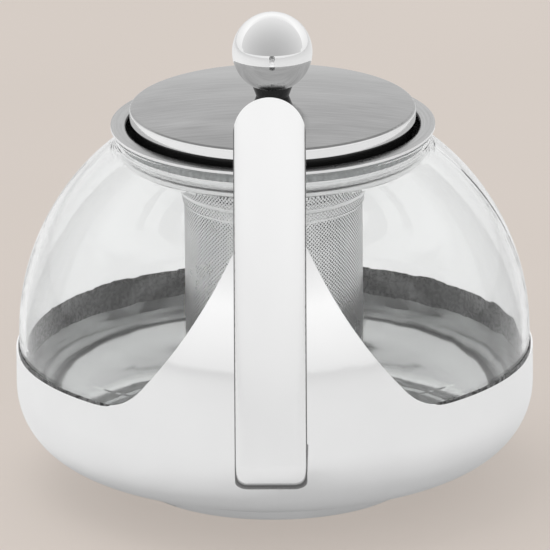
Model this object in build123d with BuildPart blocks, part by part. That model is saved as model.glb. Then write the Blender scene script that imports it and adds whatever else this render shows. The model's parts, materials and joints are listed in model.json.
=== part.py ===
"""Glass infuser teapot, in millimetres.

+Z is up, the pot's axis is the Z axis and z = 0 is the plane that it stands on.
The handle is on the -Y side and the spout on the +Y side.
"""

import os
from math import radians

from build123d import *

# ---- Driving dimensions -------------------------------------------------------------

pot_radius = 77.4  # outside of the steel casing
casing_sheet = 0.6
casing_fit = 0.3  # gap between the casing and the glass, filled by the rim seal

foot_radius = 42.0
foot_height = 2.5
dish_angle = 20.0  # slope of the casing's underside, degrees
heel_radius = 21.8  # the casing's turn from its underside to its side
heel_height = 30.6  # height of that turn's centre

rim_height = 41.7  # casing's edge round the back and the sides
wing_half_width = 52.8  # where the edge leaves the rim to climb the wing
wing_toe_radius = 16.0
wing_toe_turn = 50.0  # degrees
wing_side_radius = 263.0
wing_top = 98.0

dome_height = 46.4  # height of the dome arc's centre
dome_radius = 72.9  # dome arc, at the casing's outside
glass_thickness = 2.0
glass_floor_thickness = 3.5
cushion_thickness = 2.3
cushion_radius = 41.0
cushion_width = 7.0
seal_foot = 34.0  # lower edge of the rim seal
seal_bead = 0.7  # height of the rim seal's bead above the casing's edge

neck_radius = 47.3  # outside of the glass mouth
neck_wall = 2.0
mouth_height = 109.2
lip_round = 0.9  # fire-polished edges
neck_fillet = 3.5

spout_root = (54.0, 84.0)  # distance out and height of the spout's start, in the pot
spout_root_lean = 10.5  # slope of its axis there, degrees
spout_turn = 50.0  # how far it curves upwards, degrees
spout_radius = 40.7
spout_root_size = (18.0, 13.5)  # half width, half depth
spout_tip_size = (8.5, 6.2)
spout_flare = 1.6  # power by which it narrows
spout_stations = (0, 0.3, 0.65, 1)
spout_fillet = 4.0
spout_wall = 2.0

collar_height = 111.0  # top of the collar's flange
collar_radius = 48.5
collar_sheet = 0.8
collar_wall_radius = 44.6
collar_bend = 1.0
shelf_height = 100.7  # underside of the collar's shelf
collar_seal_foot = 106.7
collar_seal_skirt = 0.4
collar_seal_web = 0.8
collar_seal_radius = 48.0

shoulder_radius = 28.2  # upper, wider band of the basket
basket_radius = 26.6
basket_sheet = 0.5
basket_step = 91.2  # height of the basket's step
basket_foot = 31.5
basket_lip = 2.0
hoop_bead = 0.7
hoop_height = 2.0
hoop_skirt = 3.0
hoop_sheet = 0.5
base_flange = 4.0
base_hoop_height = 4.0
base_hoop_sheet = 0.4

lid_radius = 42.8
lid_edge_height = 113.0
lid_apex = 119.8
lid_crown_radius = 259.0
lid_shoulder = 1.0
lid_sheet = 0.8
skirt_radius = 41.6
skirt_sheet = 0.6
lid_clearance = 0.3

ball_radius = 12.0
ball_flat_radius = 6.1
spacer_foot_radius = 4.9
spacer_height = 3.3
screw_radius = 2.0
screw_clearance = 0.1
screw_head_radius = 3.8
screw_head_height = 2.3
washer_radius = 5.5
washer_thickness = 0.4

strap_width = 21.4
strap_depth = 5.0
strap_wall = 1.0
strap_top = (82.0, 145.3)  # distance out from the pot's axis and height, outer face
strap_length = 109.3  # gently bowed stretch, down to the bend
strap_top_lean = 25.0  # degrees from upright at the top
strap_foot_lean = 5.0  # degrees from upright where the bend starts
strap_bend = 9.0  # outer radius of the bend at the strap's lower end
strap_edge = (4.0, 2.2)  # elliptical edge: across the face and down the side
strap_burial = 8.0  # length of the strap's end trimmed off inside the casing
arm_width = 15.0
arm_depth = 4.0
arm_root = (57.0, 89.0)  # distance out and height of its buried end, in the casing
arm_root_rise = 58.0  # slope there, degrees
arm_turn = 40.0  # degrees, after which it meets the strap squarely
arm_radius = 63.0

# ---- Worked-out dimensions ----------------------------------------------------------

heel_centre = (pot_radius - heel_radius, heel_height)
dome_centre = (pot_radius - dome_radius, dome_height)
casing_floor = foot_height + casing_sheet
glass_inset = casing_sheet + casing_fit
glass_base = casing_floor + cushion_thickness
glass_floor = glass_base + glass_floor_thickness
mouth_radius = neck_radius - neck_wall
shelf_top = shelf_height + collar_sheet
ball_height = lid_apex + spacer_height + (ball_radius**2 - ball_flat_radius**2) ** 0.5
liner_top = lid_edge_height
liner_bottom = liner_top - skirt_sheet


def side_profile(inset, floor, top):
    """Half section, from the axis out, of the pot's shape moved in by inset.

    The section is closed by flat lines at the heights floor and top.
    """
    slope = Vector(1, 0).rotate(Axis.Z, dish_angle)
    heel = heel_radius - inset
    dome = dome_radius - inset
    heel_start = Vector(*heel_centre) + heel * slope.rotate(Axis.Z, -90)
    floor_radius = heel_start.X - (heel_start.Y - floor) / slope.Y * slope.X
    crown_radius = dome_centre[0] + (dome**2 - (top - dome_height) ** 2) ** 0.5
    crown = Vector(crown_radius, top) - Vector(*dome_centre)
    with BuildSketch(Plane.XZ) as section:
        with BuildLine():
            Polyline((0, floor), (floor_radius, floor), heel_start)
            CenterArc(heel_centre, heel, dish_angle - 90, 90 - dish_angle)
            Line((pot_radius - inset, heel_height), (pot_radius - inset, dome_height))
            CenterArc(dome_centre, dome, 0, Vector(1, 0).get_angle(crown))
            Polyline((crown_radius, top), (0, top), (0, floor))
        make_face()
    return section.sketch


def polar_section(points):
    """Half section through points given as (radius, height), for a revolve."""
    with BuildSketch(Plane.XZ) as section:
        with BuildLine():
            Polyline(*points, close=True)
        make_face()
    return section.sketch


# Filled shape of the pot's outside, which trims whatever is welded to the casing.
with BuildPart() as envelope:
    revolve(side_profile(0, foot_height, wing_top + 4), Axis.Z)

# ---- Pot: steel base ----------------------------------------------------------------

with BuildPart() as foot_plate:
    Cylinder(foot_radius, foot_height, align=(Align.CENTER, Align.CENTER, Align.MIN))
    fillet(foot_plate.edges().sort_by(Axis.Z)[0], 0.8)

# The casing is a bowl as far as the rim, with a wing on the handle's side that follows
# the dome. What lies above the rim and beside the wing is cut away.
with BuildPart() as base_casing:
    revolve(side_profile(0, foot_height, wing_top), Axis.Z)
    revolve(side_profile(casing_sheet, casing_floor, wing_top + 1), Axis.Z, mode=Mode.SUBTRACT)
    with BuildSketch(Plane.XZ):
        with BuildLine():
            toe = JernArc((-wing_half_width, rim_height), (1, 0), wing_toe_radius, wing_toe_turn)
            flank = JernArc(toe @ 1, toe % 1, wing_side_radius, 11.9)
            Polyline(flank @ 1, ((flank @ 1).X, wing_top + 2), (-2 * pot_radius, wing_top + 2),
                     (-2 * pot_radius, rim_height), toe @ 0)
        make_face()
        mirror(about=Plane.YZ)
    extrude(amount=2 * pot_radius, mode=Mode.SUBTRACT)
    with BuildSketch(Plane.XY.offset(rim_height)):
        with Locations((0, 2 * pot_radius)):
            Rectangle(4 * pot_radius, 4 * pot_radius)
    extrude(amount=2 * pot_radius, mode=Mode.SUBTRACT)

with BuildPart() as glass_cushion:
    with BuildSketch(Plane.XY.offset(casing_floor)):
        Circle(cushion_radius)
        Circle(cushion_radius - cushion_width, mode=Mode.SUBTRACT)
    extrude(amount=cushion_thickness)

with BuildPart() as rim_seal:
    with BuildSketch(Plane.XY.offset(seal_foot)):
        Circle(pot_radius - casing_sheet)
        Circle(pot_radius - glass_inset, mode=Mode.SUBTRACT)
    extrude(amount=rim_height - seal_foot + seal_bead)

# ---- Pot: glass body ----------------------------------------------------------------

with BuildLine(Plane.YZ) as spout_axis:
    run = Vector(1, 0).rotate(Axis.Z, spout_root_lean)
    JernArc(spout_root, (run.X, run.Y), spout_radius, spout_turn)


def spout_solid(wall, overrun):
    """Tapered tube of the spout, moved in by wall and run on by overrun past its mouth."""
    with BuildPart() as tube:
        for station in spout_stations:
            narrowing = (1 - station) ** spout_flare
            wide, deep = (
                tip + (root - tip) * narrowing - wall
                for root, tip in zip(spout_root_size, spout_tip_size)
            )
            facing = spout_axis.line % station
            centre = spout_axis.line @ station + overrun * station * facing
            with BuildSketch(Plane(centre, x_dir=(1, 0, 0), z_dir=facing)):
                Ellipse(wide, deep)
        loft()
    return tube.part


def dome_meets(radius, inset):
    """Height at which the dome moved in by inset has this radius."""
    out = radius - dome_centre[0]
    return dome_height + ((dome_radius - inset) ** 2 - out**2) ** 0.5


glass_inner_inset = glass_inset + glass_thickness
glass_top = dome_meets(neck_radius, glass_inset)
inner_top = dome_meets(mouth_radius, glass_inner_inset)

with BuildPart() as glass_body:
    revolve(side_profile(glass_inset, glass_base, glass_top), Axis.Z)
    with BuildSketch(Plane.XY.offset(glass_top)):
        Circle(neck_radius)
    extrude(amount=mouth_height - glass_top)
    neck_root = glass_body.faces().filter_by(GeomType.CYLINDER).sort_by(Axis.Z)[-1]
    fillet(neck_root.edges().filter_by(GeomType.CIRCLE).sort_by(Axis.Z)[0], neck_fillet)
    add(spout_solid(0, 0))
    spout_edges = glass_body.edges().filter_by_position(Axis.Y, spout_root[0], pot_radius)
    fillet(spout_edges.sort_by(SortBy.LENGTH)[-1], spout_fillet)
    revolve(side_profile(glass_inner_inset, glass_floor, inner_top), Axis.Z, mode=Mode.SUBTRACT)
    with BuildSketch(Plane.XY.offset(inner_top - 1)):
        Circle(mouth_radius)
    extrude(amount=mouth_height - inner_top + 2, mode=Mode.SUBTRACT)
    mouth_root = glass_body.edges().filter_by_position(Axis.Z, inner_top - 0.01, inner_top + 0.01)
    fillet(mouth_root.filter_by(GeomType.CIRCLE), neck_fillet + neck_wall)
    add(spout_solid(spout_wall, 0.5), mode=Mode.SUBTRACT)
    fillet(glass_body.faces().sort_by(Axis.Z)[-1].edges(), lip_round)
    spout_mouth = glass_body.faces().filter_by(GeomType.PLANE).sort_by(Axis.Y)[-1]
    fillet(spout_mouth.edges(), lip_round)

# ---- Pot: handle --------------------------------------------------------------------

strap_start = Vector(0, -strap_top[0], strap_top[1])
strap_down = Vector(0, 0, -1).rotate(Axis.X, -strap_top_lean)
strap_face = Vector(0, -1, 0).rotate(Axis.X, -strap_top_lean)
strap_plane = Plane(strap_start, x_dir=(1, 0, 0), z_dir=strap_down)
strap_bow = strap_length / radians(strap_top_lean - strap_foot_lean)


def strap_section(half_width, face, back):
    """Cross-section of the strap between the depths face and back, with rounded edges."""
    across, down = strap_edge
    with BuildSketch(strap_plane) as section:
        with BuildLine():
            Polyline((half_width, -face - down), (half_width, -back), (-half_width, -back),
                     (-half_width, -face - down))
            EllipticalCenterArc((across - half_width, -face - down), across, down, 90, arc_size=90)
            Line((across - half_width, -face), (half_width - across, -face))
            EllipticalCenterArc((half_width - across, -face - down), across, down, 0, arc_size=90)
        make_face()
    return section.sketch


def plate_section(half_width, face, back):
    """Plain rectangular cross-section between the depths face and back."""
    with BuildSketch(strap_plane) as section:
        with Locations((0, -(face + back) / 2)):
            Rectangle(2 * half_width, back - face)
    return section.sketch


def strap_solid(section, end_radius):
    """Section swept down the strap, round the bend and in to the casing.

    Its upper end is rounded to end_radius and its lower end fits the casing.
    """
    with BuildPart() as bar:
        with BuildLine(Plane.YZ) as route:
            bow = JernArc((-strap_top[0], strap_top[1]), (strap_down.Y, strap_down.Z),
                          strap_bow, strap_top_lean - strap_foot_lean)
            bend = JernArc(bow @ 1, bow % 1, strap_bend, 90 + strap_foot_lean)
            foot = bend @ 1
            Line(foot, (strap_burial - pot_radius, foot.Z))
        sweep(section, path=route.wire())
        with BuildSketch(Plane(strap_start, x_dir=(1, 0, 0), z_dir=strap_face)):
            Rectangle(2 * strap_width, strap_width)
            with Locations((0, -strap_width / 2)):
                Circle(end_radius, mode=Mode.SUBTRACT)
        extrude(amount=strap_width, both=True, mode=Mode.SUBTRACT)
        add(envelope.part, mode=Mode.SUBTRACT)
    return bar.part


half_strap = strap_width / 2
filled_strap = strap_solid(strap_section(half_strap, 0, strap_depth), half_strap)

with BuildPart() as handle_strap:
    add(filled_strap)
    pocket = strap_section(half_strap - strap_wall, strap_wall, strap_depth)
    add(strap_solid(pocket, half_strap - strap_wall), mode=Mode.SUBTRACT)

with BuildPart() as handle_liner:
    plate = plate_section(half_strap - strap_wall, strap_depth - strap_wall, strap_depth)
    add(strap_solid(plate, half_strap - strap_wall))

with BuildPart() as handle_arm:
    with BuildLine(Plane.YZ) as route:
        rise = Vector(-1, 0).rotate(Axis.Z, -arm_root_rise)
        JernArc((-arm_root[0], arm_root[1]), (rise.X, rise.Y), arm_radius, arm_turn)
    with BuildSketch(Plane(route.line @ 0, x_dir=(1, 0, 0), z_dir=route.line % 0)):
        RectangleRounded(arm_width, arm_depth, arm_depth / 2 - 0.1)
    sweep(path=route.wire())
    add(envelope.part, mode=Mode.SUBTRACT)
    add(filled_strap, mode=Mode.SUBTRACT)

# ---- Infuser ------------------------------------------------------------------------

collar_inside = collar_wall_radius - collar_sheet
flange_bottom = collar_height - collar_sheet

# One drawn sheet: a flange that rests on the glass, a wall and a shelf round the basket.
with BuildPart() as collar_ring:
    with BuildSketch(Plane.XZ) as collar_section:
        with BuildLine():
            Polyline((shoulder_radius, shelf_height), (collar_wall_radius, shelf_height),
                     (collar_wall_radius, flange_bottom), (collar_radius, flange_bottom),
                     (collar_radius, collar_height), (collar_inside, collar_height),
                     (collar_inside, shelf_top), (shoulder_radius, shelf_top), close=True)
        make_face()
        corners = collar_section.vertices()
        sharp = corners.filter_by_position(Axis.X, collar_inside - 0.1, collar_wall_radius + 0.1)
        inner = sharp.group_by(Axis.X)[0]
        outer = sharp.group_by(Axis.X)[-1]
        fillet([inner.sort_by(Axis.Y)[-1], outer.sort_by(Axis.Y)[0]], collar_bend)
        fillet([inner.sort_by(Axis.Y)[0], outer.sort_by(Axis.Y)[-1]], collar_bend - collar_sheet)
    revolve(axis=Axis.Z)

with BuildPart() as collar_seal:
    with BuildSketch(Plane.XZ) as seal_section:
        with BuildLine():
            Polyline((collar_wall_radius, collar_seal_foot),
                     (collar_wall_radius + collar_seal_skirt, collar_seal_foot),
                     (collar_wall_radius + collar_seal_skirt, flange_bottom - collar_seal_web),
                     (collar_seal_radius, flange_bottom - collar_seal_web),
                     (collar_seal_radius, flange_bottom), (collar_wall_radius, flange_bottom),
                     close=True)
        make_face()
        corner = seal_section.vertices().group_by(Axis.X)[0].sort_by(Axis.Y)[-1]
        fillet(corner, collar_bend - collar_sheet + 0.1)
    revolve(axis=Axis.Z)

shoulder_inside = shoulder_radius - basket_sheet
basket_inside = basket_radius - basket_sheet
floor_top = basket_foot + basket_sheet

with BuildPart() as basket_shoulder:
    revolve(polar_section([
        (shoulder_inside, basket_step), (shoulder_radius, basket_step),
        (shoulder_radius, shelf_top), (shoulder_radius + basket_lip, shelf_top),
        (shoulder_radius + basket_lip, shelf_top + basket_sheet),
        (shoulder_inside, shelf_top + basket_sheet),
    ]), Axis.Z)

with BuildPart() as basket_hoop:
    bead_bottom = basket_step - hoop_bead
    revolve(polar_section([
        (basket_radius, bead_bottom - hoop_skirt),
        (basket_radius + hoop_sheet, bead_bottom - hoop_skirt),
        (basket_radius + hoop_sheet, bead_bottom), (shoulder_radius - 0.3, bead_bottom),
        (shoulder_radius - 0.3, basket_step), (shoulder_inside, basket_step),
        (shoulder_inside, basket_step + hoop_height),
        (basket_radius, basket_step + hoop_height),
    ]), Axis.Z)

with BuildPart() as basket_wall:
    with BuildSketch(Plane.XY.offset(floor_top)):
        Circle(basket_radius)
        Circle(basket_inside, mode=Mode.SUBTRACT)
    extrude(amount=basket_step + hoop_height - floor_top)

with BuildPart() as basket_bottom:
    revolve(polar_section([
        (0, basket_foot), (basket_radius, basket_foot), (basket_radius, floor_top),
        (basket_inside, floor_top), (basket_inside, floor_top + base_flange),
        (basket_inside - basket_sheet, floor_top + base_flange),
        (basket_inside - basket_sheet, floor_top), (0, floor_top),
    ]), Axis.Z)

with BuildPart() as basket_base_hoop:
    with BuildSketch(Plane.XY.offset(basket_foot)):
        Circle(basket_radius + base_hoop_sheet)
        Circle(basket_radius, mode=Mode.SUBTRACT)
    extrude(amount=base_hoop_height)

# ---- Lid ----------------------------------------------------------------------------


def crown_height(radius, drop):
    """Height of the lid's crown at a radius, drop below its outer surface."""
    sphere = lid_crown_radius - drop
    return lid_apex - lid_crown_radius + (sphere**2 - radius**2) ** 0.5


screw_hole = screw_radius + screw_clearance


def lid_dome(edge, drop, shoulder):
    """Filled dome under the lid's crown, of radius edge, drop below its surface."""
    with BuildPart() as dome:
        with BuildSketch(Plane.XZ) as section:
            with BuildLine():
                Polyline((0, crown_height(0, drop)), (0, lid_edge_height),
                         (edge, lid_edge_height), (edge, crown_height(edge, drop)))
                ThreePointArc((edge, crown_height(edge, drop)),
                              (edge / 2, crown_height(edge / 2, drop)),
                              (0, crown_height(0, drop)))
            make_face()
            fillet(section.vertices().group_by(Axis.X)[-1].sort_by(Axis.Y)[-1], shoulder)
        revolve(axis=Axis.Z)
    return dome.part


with BuildPart() as lid_shell:
    add(lid_dome(lid_radius, 0, lid_shoulder))
    add(lid_dome(lid_radius - lid_sheet, lid_sheet, lid_shoulder - lid_sheet),
        mode=Mode.SUBTRACT)
    with BuildSketch(Plane.XY.offset(lid_edge_height)):
        Circle(screw_hole)
    extrude(amount=ball_radius, mode=Mode.SUBTRACT)

with BuildPart() as lid_liner:
    revolve(polar_section([
        (screw_hole, liner_bottom), (skirt_radius - skirt_sheet, liner_bottom),
        (skirt_radius - skirt_sheet, shelf_top + lid_clearance),
        (skirt_radius, shelf_top + lid_clearance), (skirt_radius, liner_bottom),
        (lid_radius - 0.4, liner_bottom), (lid_radius - 0.4, liner_top),
        (screw_hole, liner_top),
    ]), Axis.Z)

ball_base = lid_apex + spacer_height
with BuildPart() as knob_spacer:
    revolve(polar_section([
        (screw_hole, lid_apex), (spacer_foot_radius, lid_apex),
        (ball_flat_radius, ball_base), (screw_hole, ball_base),
    ]), Axis.Z)

with BuildPart() as knob_ball:
    with Locations((0, 0, ball_height)):
        Sphere(ball_radius)
    split(bisect_by=Plane.XY.offset(ball_base))
    with BuildSketch(Plane.XY.offset(ball_base)):
        Circle(screw_hole)
    extrude(amount=ball_radius, mode=Mode.SUBTRACT)

washer_bottom = liner_bottom - washer_thickness
with BuildPart() as screw_washer:
    with BuildSketch(Plane.XY.offset(washer_bottom)):
        Circle(washer_radius)
        Circle(screw_hole, mode=Mode.SUBTRACT)
    extrude(amount=washer_thickness)

with BuildPart() as knob_screw:
    with BuildSketch(Plane.XY.offset(washer_bottom - screw_head_height)):
        Circle(screw_head_radius)
    extrude(amount=screw_head_height)
    fillet(knob_screw.edges().sort_by(Axis.Z)[0], 1.0)
    with BuildSketch(Plane.XY.offset(washer_bottom)):
        Circle(screw_radius)
    extrude(amount=ball_height - washer_bottom - 2.0)

# ---- Written parts ------------------------------------------------------------------

pieces = {
    "foot_plate": foot_plate,
    "base_casing": base_casing,
    "glass_cushion": glass_cushion,
    "rim_seal": rim_seal,
    "glass_body": glass_body,
    "handle_strap": handle_strap,
    "handle_liner": handle_liner,
    "handle_arm": handle_arm,
    "collar_ring": collar_ring,
    "collar_seal": collar_seal,
    "basket_shoulder": basket_shoulder,
    "basket_hoop": basket_hoop,
    "basket_wall": basket_wall,
    "basket_bottom": basket_bottom,
    "basket_base_hoop": basket_base_hoop,
    "lid_shell": lid_shell,
    "lid_liner": lid_liner,
    "knob_spacer": knob_spacer,
    "knob_ball": knob_ball,
    "screw_washer": screw_washer,
    "knob_screw": knob_screw,
}

os.makedirs("parts", exist_ok=True)
for name, piece in pieces.items():
    piece.part.label = name
    export_step(piece.part, f"parts/{name}.step")
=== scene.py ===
"""Looks of a glass infuser teapot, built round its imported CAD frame.

Metres, +Z up. The pot's axis is the Z axis, its handle is on the -Y side and its spout
on the +Y side.
"""

import json
from math import cos, hypot, radians, sin, tau

import bpy
from mathutils import Matrix, Vector


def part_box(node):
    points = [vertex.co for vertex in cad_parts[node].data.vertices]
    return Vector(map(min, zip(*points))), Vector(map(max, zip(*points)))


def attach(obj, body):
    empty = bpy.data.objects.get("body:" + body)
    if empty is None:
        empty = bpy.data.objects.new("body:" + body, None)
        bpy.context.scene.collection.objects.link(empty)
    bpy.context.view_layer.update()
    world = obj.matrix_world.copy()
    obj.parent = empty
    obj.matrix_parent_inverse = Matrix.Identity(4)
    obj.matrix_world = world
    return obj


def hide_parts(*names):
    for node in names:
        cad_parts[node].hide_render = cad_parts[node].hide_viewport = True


MM = 0.001

# ---- Camera -------------------------------------------------------------------------

CAMERA_DISTANCE = 6.0
CAMERA_ELEVATION = 18.23  # degrees
CAMERA_TURN = 0.7  # degrees, towards +X
CAMERA_ROLL = -0.45  # degrees
CAMERA_SIDE = 0.3 * MM
CAMERA_AIM_HEIGHT = 63.27 * MM
CAMERA_LENS = 1311.6
CAMERA_REACH = 50.0
SENSOR = 36.0

# ---- Finishes: base levels from dark to light, roughness from fine to coarse --------

CASING_OUTSIDE = (0.94, 0.97)
# Painted shade on the casing's inside walls, and a painted highlight on its inside floor
CASING_INSIDE_SHADE = (0.50, 0.54)
CASING_FLOOR_HIGHLIGHT = 0.98
CASING_ROUGHNESS = (0.08, 0.14)
STRAP_FACE = (0.92, 0.96)
# Painted dark reflection along the strap's rounded edges
STRAP_EDGE_SHADE = 0.06
STRAP_ROUGHNESS = (0.18, 0.26)
STRAP_LEAN = 15.0  # degrees, mean lean of the strap's face
KNOB_POLISH = (0.96, 0.98)
KNOB_ROUGHNESS = (0.015, 0.035)
# Painted shade: the lid's up-facing crown is darker than its edge
LID_CROWN_SHADE = (0.29, 0.42)
LID_EDGE = 0.96
LID_ROUGHNESS = (0.07, 0.12)
COLLAR_WALL = (0.84, 0.94)
# Painted shade: darker on the collar's up-facing flange and near black inside its cup
COLLAR_FLANGE_SHADE = (0.38, 0.48)
COLLAR_CUP_SHADE = 0.012
COLLAR_ROUGHNESS = (0.16, 0.26)
CUP_SHADE_RADIUS = 44.2 * MM  # between the collar wall's inner and outer face
CUP_SHADE_EDGE = 0.2 * MM
BASKET_SHEET = (0.84, 0.96)
BASKET_ROUGHNESS = (0.24, 0.36)
SCREW = (0.52, 0.62)
SCREW_ROUGHNESS = (0.2, 0.35)
GLASS_TINT = (0.995, 1.0, 0.998)
CLEAR_SILICONE = ((0.75, 0.77, 0.77), (0.9, 0.92, 0.92))
CLEAR_SHARE = 0.6  # how far the clear silicone lets light through
RIM_SILICONE = (0.01, 0.2)
PLASTIC = (0.006, 0.012)
PLASTIC_ROUGHNESS = (0.15, 0.28)
TURNED_LINES = (2400, 2400, 2)  # stretch of the noise that draws turned lines

# ---- Basket -------------------------------------------------------------------------

SHEET = 0.5 * MM
HOLE_PITCH = 0.86 * MM  # between neighbouring holes, which lie on 45 degree rows
HOLE_SHARE = 0.66  # a hole's width as a share of the pitch
LATTICE = HOLE_PITCH / 2**0.5
HEM = 1.2 * MM  # plain edge of a perforated sheet
HEM_RISE = 0.02 * MM  # how far the pressed edge stands off the sheet
HOOP_SKIRT = 3.0 * MM  # height of the hoop's perforated skirt, below its bead
SKIRT_MARGIN = 0.5 * MM  # plain strip of the wall below the hoop
BASE_MARGIN = 3.2 * MM  # plain outer ring of the basket's bottom
WALL_SECTORS = 3  # pieces of the wall's mesh
SHOULDER_LIP = 2.0 * MM  # width of the flat lip at the shoulder's top
TURN_STEPS = 192  # faces round a turned ring

# ---- Studio -------------------------------------------------------------------------

MAX_BOUNCES = 24
GLASS_BOUNCES = 16
STEEL_BOUNCES = 12
FLOOR_SIZE = 8
FLOOR_TONES = ((0.187, 0.1675, 0.1525), (0.2, 0.179, 0.163))
FLOOR_GLOW = 2.0
BOUNCE_TONES = ((0.49, 0.49, 0.49), (0.51, 0.51, 0.51))  # of the floor that the pot mirrors
BOUNCE_GLOW = 0.35
SKY = ((0.0, 0.84), (0.5, 1.0), (0.9, 0.75))  # sine of the elevation, brightness
TOP_POWER = 8
TOP_PLACE = (-0.3, 0.2, 1.2)
TOP_AIM = (0, 0, 0.05)
TOP_SIZE = (1.0, 1.0)
CARD_GLOW = (0.44, 0.80)  # in front of the knob and over it
CARD_STEPS = (24, 16)  # over the knob and across it
CARD_RADIUS = 72 * MM
CARD_FRONT = 5.0  # degrees above level, on the handle's side
CARD_BACK = 122.0  # degrees, past the upright and down towards the spout
CARD_SIDE = 84.0  # degrees to either side

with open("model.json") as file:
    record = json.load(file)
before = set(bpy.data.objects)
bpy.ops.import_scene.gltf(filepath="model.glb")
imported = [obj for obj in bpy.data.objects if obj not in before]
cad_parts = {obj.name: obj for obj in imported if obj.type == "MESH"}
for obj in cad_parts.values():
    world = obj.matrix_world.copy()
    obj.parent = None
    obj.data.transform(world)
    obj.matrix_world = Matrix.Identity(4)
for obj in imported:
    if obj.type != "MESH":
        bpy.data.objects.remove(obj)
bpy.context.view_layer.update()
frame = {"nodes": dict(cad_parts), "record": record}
nodes = frame["nodes"]


# ---- Node materials -----------------------------------------------------------------


class Finish:
    """A material round one Principled shader, with short calls for its nodes."""

    def __init__(self, name, **values):
        self.material = bpy.data.materials.new(name)
        self.material.use_nodes = True
        self.tree = self.material.node_tree
        self.shader = self.tree.nodes["Principled BSDF"]
        for socket, value in values.items():
            self.shader.inputs[socket.replace("_", " ")].default_value = value

    def node(self, kind, settings=None, **inputs):
        """New node of a kind, with its own settings and its input values or links."""
        made = self.tree.nodes.new("ShaderNode" + kind)
        for key, value in (settings or {}).items():
            setattr(made, key, value)
        for socket, value in inputs.items():
            self.feed(made.inputs[socket.replace("_", " ")], value)
        return made

    def feed(self, socket, value):
        if isinstance(value, bpy.types.NodeSocket):
            self.tree.links.new(value, socket)
        else:
            socket.default_value = value

    def drive(self, socket, output):
        """Feeds one of the Principled shader's inputs."""
        self.tree.links.new(output, self.shader.inputs[socket])

    def place(self, stretch=(1, 1, 1)):
        """Place on the object in metres, stretched along its axes."""
        place = self.node("TexCoord").outputs["Object"]
        return self.node("Mapping", Vector=place, Scale=stretch).outputs["Vector"]

    def turned_place(self, stretch):
        """Place as distance from the Z axis, height and turn round the axis."""
        x, y, z = self.node("SeparateXYZ", Vector=self.place()).outputs
        turn = self.math("ARCTAN2", y, x)
        polar = self.node("CombineXYZ", X=self.radius(), Y=z, Z=turn).outputs["Vector"]
        return self.node("Mapping", Vector=polar, Scale=stretch).outputs["Vector"]

    def noise(self, place, scale, detail=2.0):
        """Noise from 0 to 1."""
        return self.node("TexNoise", Vector=place, Scale=scale, Detail=detail).outputs["Fac"]

    def spread(self, value, low, high, start=0.3, end=0.7):
        """Value from start to end moved to the range from low to high."""
        moved = self.node("MapRange", Value=value, From_Min=start, From_Max=end,
                          To_Min=low, To_Max=high)
        return moved.outputs["Result"]

    def tones(self, value, dark, light, start=0.3, end=0.7):
        """Colour from dark to light as value goes from start to end."""
        ramp = self.node("ValToRGB", Fac=value)
        for element, place, tone in zip(ramp.color_ramp.elements, (start, end), (dark, light)):
            element.position = place
            element.color = opaque(tone)
        return ramp.outputs["Color"]

    def relief(self, height, depth):
        """Normal of a surface raised by height times depth."""
        return self.node("Bump", Height=height, Distance=depth).outputs["Normal"]

    def math(self, operation, *values):
        made = self.node("Math", {"operation": operation})
        for socket, value in zip(made.inputs, values):
            self.feed(socket, value)
        return made.outputs[0]

    def along(self, direction):
        """How far the surface faces a direction: 1 straight along it, -1 away."""
        dot = self.node("VectorMath", {"operation": "DOT_PRODUCT"})
        self.feed(dot.inputs[0], self.node("NewGeometry").outputs["Normal"])
        self.feed(dot.inputs[1], direction)
        return dot.outputs["Value"]

    def facing_up(self, low, high):
        """0 on surfaces that face up by low or less, 1 by high or more."""
        return self.spread(self.along(Vector((0, 0, 1))), 0.0, 1.0, low, high)

    def facing_away(self):
        """1 on surfaces that face away from the Z axis or down, 0 on those facing it or up."""
        x, y, _ = self.node("SeparateXYZ", Vector=self.place()).outputs
        out = self.node("CombineXYZ", X=x, Y=y).outputs["Vector"]
        unit = self.node("VectorMath", {"operation": "NORMALIZE"})
        self.feed(unit.inputs[0], out)
        outward = self.along(unit.outputs["Vector"])
        level = self.math("MULTIPLY", self.along(Vector((0, 0, 1))), 0.3)
        return self.spread(self.math("SUBTRACT", outward, level), 0.0, 1.0, -0.05, 0.05)

    def radius(self):
        """Distance from the Z axis."""
        x, y, _ = self.node("SeparateXYZ", Vector=self.place()).outputs
        squares = [self.math("MULTIPLY", side, side) for side in (x, y)]
        return self.math("SQRT", self.math("ADD", *squares))

    def band(self, value, low, low_full, high_full, high):
        """1 while value is between low_full and high_full, 0 below low and above high."""
        rise = self.spread(value, 0.0, 1.0, low, low_full)
        fall = self.spread(value, 1.0, 0.0, high_full, high)
        return self.math("MULTIPLY", rise, fall)

    def mixed(self, factor, first, second):
        """Colour from first, at factor 0, to second, at factor 1."""
        mix = self.node("Mix", {"data_type": "RGBA"}, Factor=factor)
        self.feed(mix.inputs[6], first)
        self.feed(mix.inputs[7], second)
        return mix.outputs[2]

    def mixed_value(self, factor, first, second):
        mix = self.node("Mix", {"data_type": "FLOAT"}, Factor=factor)
        self.feed(mix.inputs[2], first)
        self.feed(mix.inputs[3], second)
        return mix.outputs[0]


def grey(level):
    return (level, level, level)


def greys(levels):
    return [grey(level) for level in levels]


def opaque(colour):
    return (*colour, 1.0)


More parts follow.
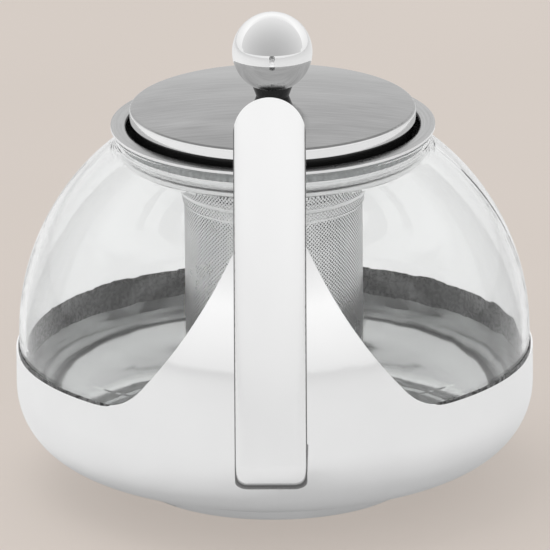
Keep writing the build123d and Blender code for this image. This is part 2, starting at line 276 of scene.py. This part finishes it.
def casing_steel():
    """Polished outside, faint wipe marks, painted shade on the inside walls and a painted
    highlight on the inside floor.
    """
    finish = Finish("casing_steel", Metallic=1.0)
    smears = finish.noise(finish.place(), 45, 4)
    outside = finish.tones(smears, *greys(CASING_OUTSIDE))
    # Painted shade: the inside walls get a darker copy of the steel, and the up-facing inside
    # floor a painted highlight
    wall = finish.tones(smears, *greys(CASING_INSIDE_SHADE))
    inside = finish.mixed(finish.facing_up(0.8, 0.93), wall, opaque(grey(CASING_FLOOR_HIGHLIGHT)))
    finish.drive("Base Color", finish.mixed(finish.facing_away(), inside, outside))
    finish.drive("Roughness", finish.spread(smears, *CASING_ROUGHNESS))
    waves = finish.noise(finish.place(), 25, 1)
    finish.drive("Normal", finish.relief(waves, 0.001 * MM))
    return finish.material


def handle_steel():
    """Satin polish, with a painted dark reflection along the outer face's rounded edges."""
    finish = Finish("handle_steel", Metallic=1.0)
    smears = finish.noise(finish.place((1, 1, 0.2)), 60, 4)
    face = finish.tones(smears, *greys(STRAP_FACE))
    tilt = radians(STRAP_LEAN)
    front = finish.along(Vector((0, -cos(tilt), sin(tilt))))
    # Painted dark reflection: a near-black, non-metal band where the face's rounded edges turn
    # sideways
    edge_shade = finish.band(front, 0.05, 0.12, 0.55, 0.68)
    finish.drive("Base Color", finish.mixed(edge_shade, face, opaque(grey(STRAP_EDGE_SHADE))))
    finish.drive("Metallic", finish.spread(edge_shade, 1.0, 0.0, 0.2, 0.8))
    finish.drive("Roughness", finish.spread(smears, *STRAP_ROUGHNESS))
    return finish.material


def knob_steel():
    finish = Finish("knob_steel", Metallic=1.0)
    smears = finish.noise(finish.place(), 90, 4)
    finish.drive("Base Color", finish.tones(smears, *greys(KNOB_POLISH)))
    finish.drive("Roughness", finish.spread(smears, *KNOB_ROUGHNESS))
    return finish.material


def lid_steel():
    """Straight brushing along X on the crown, whose up-facing steel is painted darker as
    shade, and a polished edge.
    """
    finish = Finish("lid_steel", Metallic=1.0)
    grain = finish.noise(finish.place((50, 1300, 600)), 1, 3)
    clouds = finish.noise(finish.place((40, 110, 90)), 1, 3)
    streaks = finish.mixed_value(0.5, grain, clouds)
    crown_shade = finish.tones(streaks, *greys(LID_CROWN_SHADE))
    edge = opaque(grey(LID_EDGE))
    # Painted shade: the up-facing crown gets a darker copy of the steel than the edge
    finish.drive("Base Color", finish.mixed(finish.facing_up(0.3, 0.7), edge, crown_shade))
    finish.drive("Roughness", finish.spread(grain, *LID_ROUGHNESS))
    finish.drive("Normal", finish.relief(grain, 0.01 * MM))
    return finish.material


def collar_steel():
    """Fine turned finish, with painted shade: darker on the up-facing flange and near black
    inside the collar's cup.
    """
    finish = Finish("collar_steel", Metallic=1.0)
    rings = finish.noise(finish.turned_place(TURNED_LINES), 1, 2)
    wall = finish.tones(rings, *greys(COLLAR_WALL))
    flange_shade = finish.tones(rings, *greys(COLLAR_FLANGE_SHADE))
    # Painted shade: the up-facing flange gets a darker copy of the steel
    turned = finish.mixed(finish.facing_up(0.4, 0.7), wall, flange_shade)
    # Painted shade: near black, non-metal steel inside the collar's cup, where the gap under
    # the lid lies in shadow
    cup_shade = finish.spread(finish.radius(), 1.0, 0.0, CUP_SHADE_RADIUS, CUP_SHADE_RADIUS + CUP_SHADE_EDGE)
    finish.drive("Base Color", finish.mixed(cup_shade, turned, opaque(grey(COLLAR_CUP_SHADE))))
    finish.drive("Metallic", finish.spread(cup_shade, 1.0, 0.0, 0.0, 1.0))
    finish.drive("Roughness", finish.spread(rings, *COLLAR_ROUGHNESS))
    finish.drive("Normal", finish.relief(rings, 0.004 * MM))
    return finish.material


def basket_steel():
    """Satin perforated sheet, dulled by tea here and there."""
    finish = Finish("basket_steel", Metallic=1.0)
    clouds = finish.noise(finish.place(), 70, 4)
    finish.drive("Base Color", finish.tones(clouds, *greys(BASKET_SHEET)))
    finish.drive("Roughness", finish.spread(clouds, *BASKET_ROUGHNESS))
    return finish.material


def screw_steel():
    finish = Finish("screw_steel", Metallic=1.0)
    rings = finish.noise(finish.turned_place(TURNED_LINES), 1, 2)
    finish.drive("Base Color", finish.tones(rings, *greys(SCREW)))
    finish.drive("Roughness", finish.spread(rings, *SCREW_ROUGHNESS))
    return finish.material


def clear_glass():
    """Borosilicate glass with the faint draw marks of blown ware."""
    finish = Finish("clear_glass", Transmission_Weight=1.0, Roughness=0.0, IOR=1.47)
    finish.shader.inputs["Base Color"].default_value = opaque(GLASS_TINT)
    draws = finish.noise(finish.place((1, 1, 0.6)), 22, 1)
    finish.drive("Normal", finish.relief(draws, 0.002 * MM))
    return finish.material


def silicone(name, tones, clear):
    """Satin silicone rubber, partly see-through where clear is above 0."""
    finish = Finish(name, Roughness=0.45, IOR=1.41, Transmission_Weight=clear)
    specks = finish.noise(finish.place(), 900, 3)
    finish.drive("Base Color", finish.tones(specks, *tones, 0.42, 0.6))
    finish.drive("Normal", finish.relief(specks, 0.02 * MM))
    return finish.material


def black_plastic():
    finish = Finish("black_plastic", Roughness=0.2, IOR=1.5)
    grain = finish.noise(finish.place(), 700, 3)
    finish.drive("Base Color", finish.tones(grain, *greys(PLASTIC)))
    finish.drive("Roughness", finish.spread(grain, *PLASTIC_ROUGHNESS))
    return finish.material


MATERIALS = {
    "casing_steel": casing_steel(),
    "handle_steel": handle_steel(),
    "clear_glass": clear_glass(),
    "clear_silicone": silicone("clear_silicone", CLEAR_SILICONE, CLEAR_SHARE),
    "rim_silicone": silicone("rim_silicone", greys(RIM_SILICONE), 0.0),
    "collar_steel": collar_steel(),
    "basket_steel": basket_steel(),
    "lid_steel": lid_steel(),
    "knob_steel": knob_steel(),
    "black_plastic": black_plastic(),
    "screw_steel": screw_steel(),
}

slot_of = {part["node"]: part["material_slot"] for part in frame["record"]["subparts"]}


def dress(piece, slot):
    """Gives a piece the material of a slot of the record."""
    piece.data.materials.clear()
    piece.data.materials.append(MATERIALS[slot])
    for face in piece.data.polygons:
        face.material_index = 0


for node_name, node in nodes.items():
    dress(node, slot_of[node_name])


# ---- Perforated basket --------------------------------------------------------------


class Mesh:
    """Points and faces of one piece, gathered from perforated fields and turned rings."""

    def __init__(self):
        self.points = []
        self.faces = []

    def ring(self, profile):
        """Closed profile of (radius, height) points turned round the Z axis."""
        start = len(self.points)
        count = len(profile)
        for step in range(TURN_STEPS):
            turn = tau * step / TURN_STEPS
            self.points += [(r * cos(turn), r * sin(turn), z) for r, z in profile]
            here = start + step * count
            ahead = start + (step + 1) % TURN_STEPS * count
            for k in range(count):
                after = (k + 1) % count
                self.faces.append((here + k, ahead + k, ahead + after, here + after))

    def hoop(self, radius, bottom, top):
        """Plain band of sheet, a little thicker than the sheet that it edges."""
        inside = radius - SHEET - HEM_RISE
        outside = radius + HEM_RISE
        self.ring([(inside, bottom), (outside, bottom), (outside, top), (inside, top)])

    def field(self, at, cells, columns=None):
        """Perforated field, built cell by cell on a lattice of 45 degree rows.

        Holes are at the lattice points (column, row) of cells, where column + row is
        even, and at(column, row, depth) places a point, on the outer face at depth 0
        and on the inner face at depth 1. A closed tube has a number of columns.
        """
        index = {}
        round_hole = ((1, 0), (0, 1), (-1, 0), (0, -1))

        def wrap(column):
            return column % columns if columns else column

        def point(column, row, depth, x=0.0, y=0.0):
            key = (wrap(column), row, depth, x, y)
            if key not in index:
                index[key] = len(self.points)
                self.points.append(at(wrap(column) + x, row + y, depth))
            return index[key]

        kept = {(wrap(column), row) for column, row in cells}
        for column, row in sorted(kept):
            for (x0, y0), (x1, y1) in zip(round_hole, round_hole[1:] + round_hole[:1]):
                outer, inner = (
                    (point(column + x0, row + y0, depth),
                     point(column + x1, row + y1, depth),
                     point(column, row, depth, x1 * HOLE_SHARE, y1 * HOLE_SHARE),
                     point(column, row, depth, x0 * HOLE_SHARE, y0 * HOLE_SHARE))
                    for depth in (0, 1)
                )
                self.faces += [outer, inner[::-1], (outer[3], outer[2], inner[2], inner[3])]
                if (wrap(column + x0 + x1), row + y0 + y1) not in kept:
                    self.faces.append((outer[1], outer[0], inner[0], inner[1]))

    def tube(self, radius, bottom, top, sector=0, sectors=1):
        """Perforated tube between two heights, or one sector of it."""
        columns = 2 * round(tau * radius / LATTICE / 2)
        rows = round((top - bottom) / LATTICE)
        step = (top - bottom) / rows

        def at(column, row, depth):
            turn = tau * column / columns
            r = radius - SHEET * depth
            return (r * cos(turn), r * sin(turn), bottom + row * step)

        low = columns * sector // sectors
        high = columns * (sector + 1) // sectors
        cells = [(c, r) for r in range(1, rows) for c in range(low, high) if (c + r) % 2 == 0]
        self.field(at, cells, columns)

    def disc(self, radius, top):
        """Perforated disc of sheet under a height."""
        reach = int(radius / LATTICE)
        steps = range(-reach, reach + 1)

        def at(column, row, depth):
            return (column * LATTICE, row * LATTICE, top - SHEET * depth)

        cells = [(c, r) for r in steps for c in steps
                 if (c + r) % 2 == 0 and hypot(c, r) * LATTICE < radius - LATTICE]
        self.field(at, cells)

    def piece(self, name, slot, node_name, body):
        """The piece as an object that stands for a CAD node and rides on its body."""
        mesh = bpy.data.meshes.new(name)
        mesh.from_pydata(self.points, [], self.faces)
        mesh.validate()
        mesh.update()
        made = bpy.data.objects.new(name, mesh)
        bpy.context.scene.collection.objects.link(made)
        dress(made, slot)
        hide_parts(node_name)
        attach(made, body)


def radius_of(node_name):
    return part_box(node_name)[1].x


def heights_of(node_name):
    low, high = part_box(node_name)
    return low.z, high.z


def basket_wall():
    radius = radius_of("basket_wall")
    bottom, top = heights_of("basket_wall")
    holes_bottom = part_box("basket_bottom")[1].z
    holes_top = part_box("basket_hoop")[0].z - SKIRT_MARGIN
    for sector in range(WALL_SECTORS):
        wall = Mesh()
        wall.tube(radius, holes_bottom - LATTICE, holes_top + LATTICE, sector, WALL_SECTORS)
        if sector == 0:
            wall.hoop(radius, bottom, holes_bottom)
        if sector == 1:
            wall.hoop(radius, holes_top, top)
        wall.piece(f"basket_wall_{sector + 1}", "basket_steel", "basket_wall", "infuser")


def basket_shoulder():
    bottom, top = heights_of("basket_shoulder")
    lip_radius = radius_of("basket_shoulder")
    radius = lip_radius - SHOULDER_LIP
    shoulder = Mesh()
    shoulder.tube(radius, bottom + HEM / 2 - LATTICE, top - 2 * HEM + LATTICE)
    shoulder.hoop(radius, bottom, bottom + HEM / 2)
    inside = radius - SHEET - HEM_RISE
    shoulder.ring([(inside, top - 2 * HEM), (radius + HEM_RISE, top - 2 * HEM),
                   (radius + HEM_RISE, top - SHEET), (lip_radius, top - SHEET),
                   (lip_radius, top), (inside, top)])
    shoulder.piece("basket_shoulder_sheet", "basket_steel", "basket_shoulder", "infuser")


def basket_hoop():
    bottom, top = heights_of("basket_hoop")
    wall = radius_of("basket_wall")
    skirt = wall + SHEET
    bead = radius_of("basket_hoop")
    inside = radius_of("basket_shoulder") - SHOULDER_LIP - SHEET
    bead_bottom = bottom + HOOP_SKIRT
    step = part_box("basket_shoulder")[0].z
    hoop = Mesh()
    hoop.tube(skirt, bottom, bead_bottom + LATTICE)
    soft = (step - bead_bottom) / 4
    hoop.ring([(wall + HEM_RISE, bead_bottom), (bead - soft, bead_bottom),
               (bead, bead_bottom + soft), (bead, step - soft), (bead - soft, step),
               (inside, step), (inside, top), (wall + HEM_RISE, top)])
    hoop.piece("basket_hoop_band", "basket_steel", "basket_hoop", "infuser")


def basket_bottom():
    bottom, top = heights_of("basket_bottom")
    radius = radius_of("basket_bottom")
    ring_inside = radius - BASE_MARGIN
    floor = bottom + SHEET
    disc = Mesh()
    disc.disc(ring_inside + 2 * LATTICE, floor)
    disc.ring([(ring_inside, bottom - HEM_RISE), (radius, bottom - HEM_RISE), (radius, floor),
               (radius - SHEET, floor), (radius - SHEET, top), (radius - 2 * SHEET, top),
               (radius - 2 * SHEET, floor + HEM_RISE), (ring_inside, floor + HEM_RISE)])
    disc.piece("basket_bottom_sheet", "basket_steel", "basket_bottom", "infuser")


basket_wall()
basket_shoulder()
basket_hoop()
basket_bottom()

# ---- Studio -------------------------------------------------------------------------


def stage_plane(name, height, tones, strength):
    """Level floor with a faint mottle, which also glows by strength."""
    bpy.ops.mesh.primitive_plane_add(size=FLOOR_SIZE, location=(0, 0, height))
    plane = bpy.context.object
    plane.name = name
    finish = Finish(name, Roughness=0.7, Emission_Strength=strength)
    mottle = finish.noise(finish.place(), 3, 2)
    colour = finish.tones(mottle, *tones)
    finish.drive("Base Color", colour)
    finish.drive("Emission Color", colour)
    plane.data.materials.append(finish.material)
    return plane


def studio_floors():
    """A warm floor for the camera, and under it the plain one that the pot mirrors."""
    shown = stage_plane("floor", -0.1 * MM, FLOOR_TONES, FLOOR_GLOW)
    shown.visible_diffuse = False
    shown.visible_glossy = False
    shown.visible_transmission = False
    shown.visible_shadow = False
    mirrored = stage_plane("floor_bounce", -0.2 * MM, BOUNCE_TONES, BOUNCE_GLOW)
    mirrored.visible_camera = False


def reflector(centre):
    """Grey card curved over the knob, seen only in its polish."""
    over, across = CARD_STEPS
    points = []
    faces = []
    for i in range(over + 1):
        lift = radians(CARD_FRONT + (CARD_BACK - CARD_FRONT) * i / over)
        for j in range(across + 1):
            side = radians(CARD_SIDE * (2 * j / across - 1))
            out = CARD_RADIUS * cos(side)
            points.append((CARD_RADIUS * sin(side), centre.y - out * cos(lift),
                           centre.z + out * sin(lift)))
            if i < over and j < across:
                k = i * (across + 1) + j
                faces.append((k, k + 1, k + across + 2, k + across + 1))
    mesh = bpy.data.meshes.new("reflector")
    mesh.from_pydata(points, [], faces)
    mesh.shade_smooth()
    card = bpy.data.objects.new("reflector", mesh)
    bpy.context.scene.collection.objects.link(card)
    mesh.materials.append(reflector_glow())
    card.visible_camera = False
    card.visible_diffuse = False
    card.visible_transmission = False
    card.visible_shadow = False


def reflector_glow():
    """Grey where a first reflection shows the card, and white in every later one."""
    finish = Finish("reflector", Roughness=1.0, Emission_Strength=1.0)
    finish.shader.inputs["Base Color"].default_value = opaque(grey(0.0))
    _, y, _ = finish.node("SeparateXYZ", Vector=finish.place()).outputs
    back = finish.spread(y, 0.0, 1.0, -CARD_RADIUS, CARD_RADIUS / 2)
    glow = finish.tones(back, *greys(CARD_GLOW), 0.0, 1.0)
    depth = finish.node("LightPath").outputs["Ray Depth"]
    later = finish.spread(depth, 0.0, 1.0, 1.2, 1.8)
    finish.drive("Emission Color", finish.mixed(later, glow, opaque(grey(1.0))))
    return finish.material


def studio_world():
    """White all round, a little greyer at the horizon and overhead."""
    world = bpy.data.worlds.new("studio")
    bpy.context.scene.world = world
    world.use_nodes = True
    tree = world.node_tree
    place = tree.nodes.new("ShaderNodeTexCoord").outputs["Generated"]
    split = tree.nodes.new("ShaderNodeSeparateXYZ")
    tree.links.new(place, split.inputs[0])
    sky = tree.nodes.new("ShaderNodeValToRGB")
    tree.links.new(split.outputs["Z"], sky.inputs["Fac"])
    ramp = sky.color_ramp
    while len(ramp.elements) < len(SKY):
        ramp.elements.new(0.5)
    for element, (height, level) in zip(ramp.elements, SKY):
        element.position = height
        element.color = opaque(grey(level))
    background = tree.nodes["Background"]
    tree.links.new(sky.outputs["Color"], background.inputs["Color"])
    background.inputs["Strength"].default_value = 1.0


def softbox(name, place, aim, size, power):
    lamp = bpy.data.lights.new(name, "AREA")
    lamp.shape = "RECTANGLE"
    lamp.size, lamp.size_y = size
    lamp.energy = power
    box = bpy.data.objects.new(name, lamp)
    box.location = place
    box.rotation_euler = (Vector(aim) - Vector(place)).to_track_quat("-Z", "Y").to_euler()
    box.visible_glossy = False
    box.visible_transmission = False
    bpy.context.scene.collection.objects.link(box)


def camera():
    tilt = radians(CAMERA_ELEVATION)
    turn = radians(CAMERA_TURN)
    back = Vector((sin(turn) * cos(tilt), -cos(turn) * cos(tilt), sin(tilt)))
    data = bpy.data.cameras.new("camera")
    data.lens = CAMERA_LENS
    data.sensor_width = SENSOR
    data.clip_end = CAMERA_REACH
    eye = bpy.data.objects.new("camera", data)
    aim = Vector((cos(turn), sin(turn), 0)) * CAMERA_SIDE + Vector((0, 0, CAMERA_AIM_HEIGHT))
    facing = (-back).to_track_quat("-Z", "Y").to_matrix().to_4x4()
    eye.matrix_world = (Matrix.Translation(aim + back * CAMERA_DISTANCE) @ facing
                        @ Matrix.Rotation(radians(CAMERA_ROLL), 4, "Z"))
    bpy.context.scene.collection.objects.link(eye)
    bpy.context.scene.camera = eye


def middle_of(node_name):
    low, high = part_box(node_name)
    return (low + high) / 2


studio_floors()
studio_world()
reflector(middle_of("knob_ball"))
softbox("top", TOP_PLACE, TOP_AIM, TOP_SIZE, TOP_POWER)
camera()

scene = bpy.context.scene
scene.view_settings.view_transform = "Standard"
scene.cycles.max_bounces = MAX_BOUNCES
scene.cycles.transmission_bounces = GLASS_BOUNCES
scene.cycles.glossy_bounces = STEEL_BOUNCES
